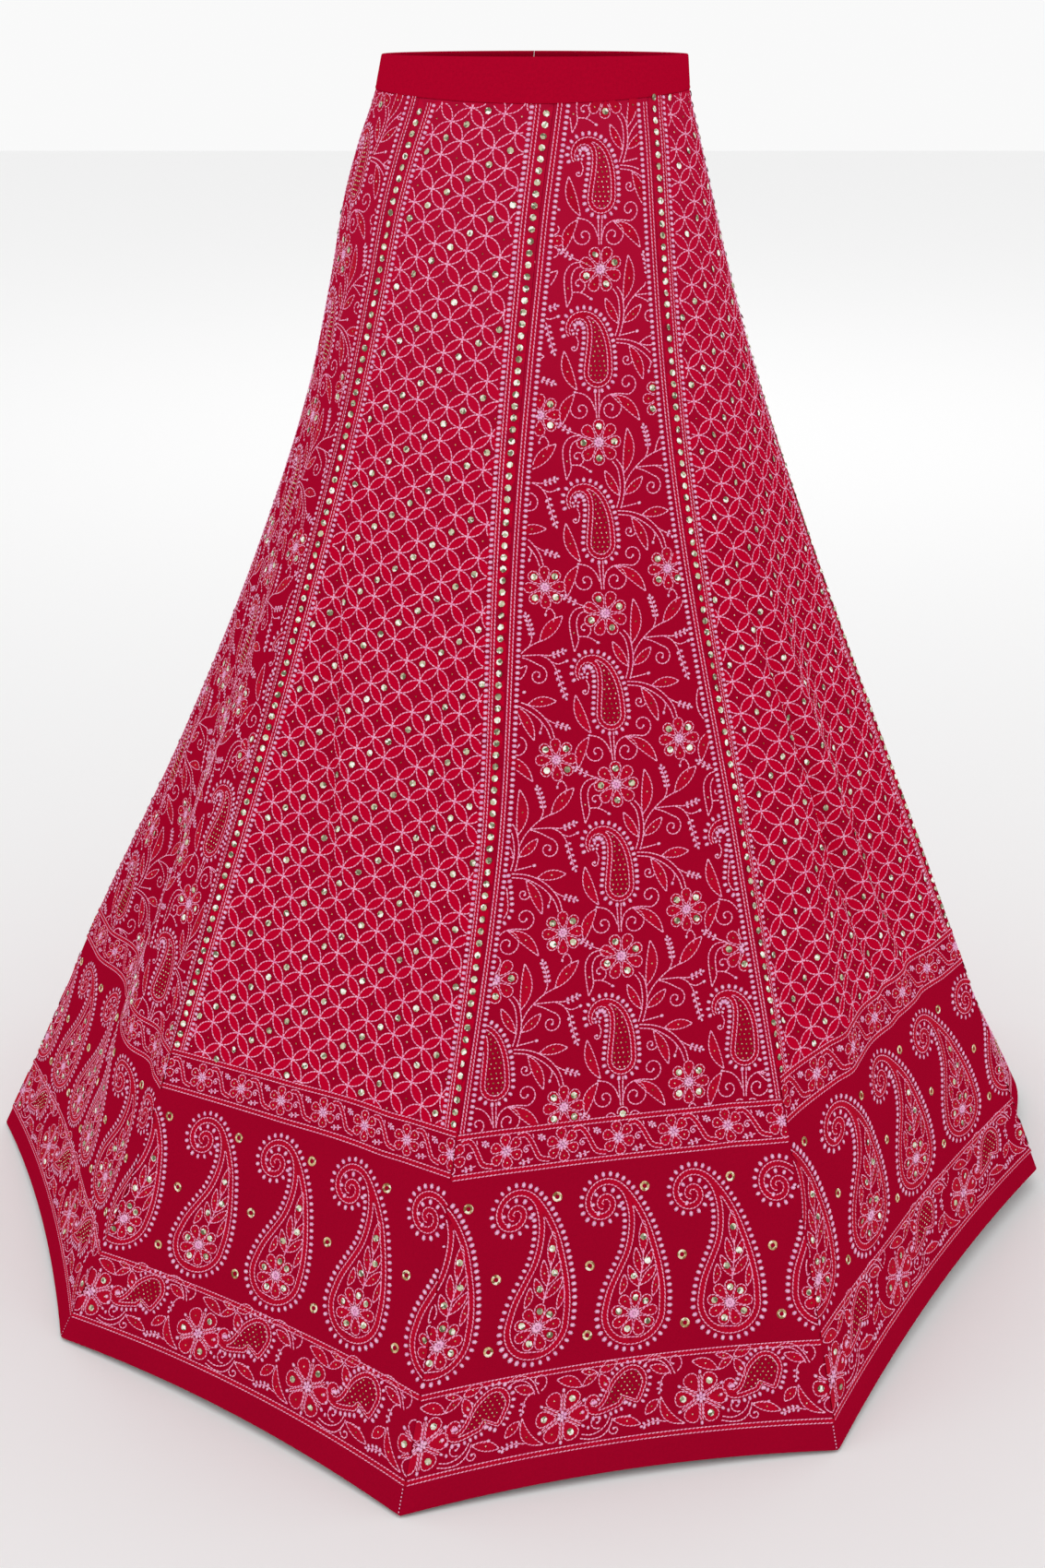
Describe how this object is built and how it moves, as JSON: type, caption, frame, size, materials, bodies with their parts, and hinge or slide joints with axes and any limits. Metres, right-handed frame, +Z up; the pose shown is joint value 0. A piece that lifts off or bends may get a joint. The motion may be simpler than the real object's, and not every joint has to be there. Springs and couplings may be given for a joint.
{
  "type": "lehenga skirt",
  "caption": "Floor-length flared lehenga skirt of tall tapering panels with embroidered borders, held at the waist, hollow and open below.",
  "frame": {"origin": "centre of the waistband's top edge, where the wearer's waist holds the skirt", "axes": "+Z up out of the waist, +X to the right as seen from the front, the front towards -Y"},
  "size_m": [0.9972, 1.0006, 0.9859],
  "materials": {
    "kali_cloth": "matt dyed georgette",
    "waistband_cloth": "matt plain weave",
    "embroidery_thread": "soft cotton thread",
    "sequin_metal": "bright faceted"
  },
  "bodies": {
    "root": {"waistband": "waistband_cloth", "kali_1_floral": "kali_cloth", "kali_2_lattice": "kali_cloth", "kali_3_floral": "kali_cloth", "kali_4_lattice": "kali_cloth", "kali_5_floral": "kali_cloth", "kali_6_lattice": "kali_cloth", "kali_7_floral": "kali_cloth", "kali_8_lattice": "kali_cloth"}
  },
  "joints": []
}
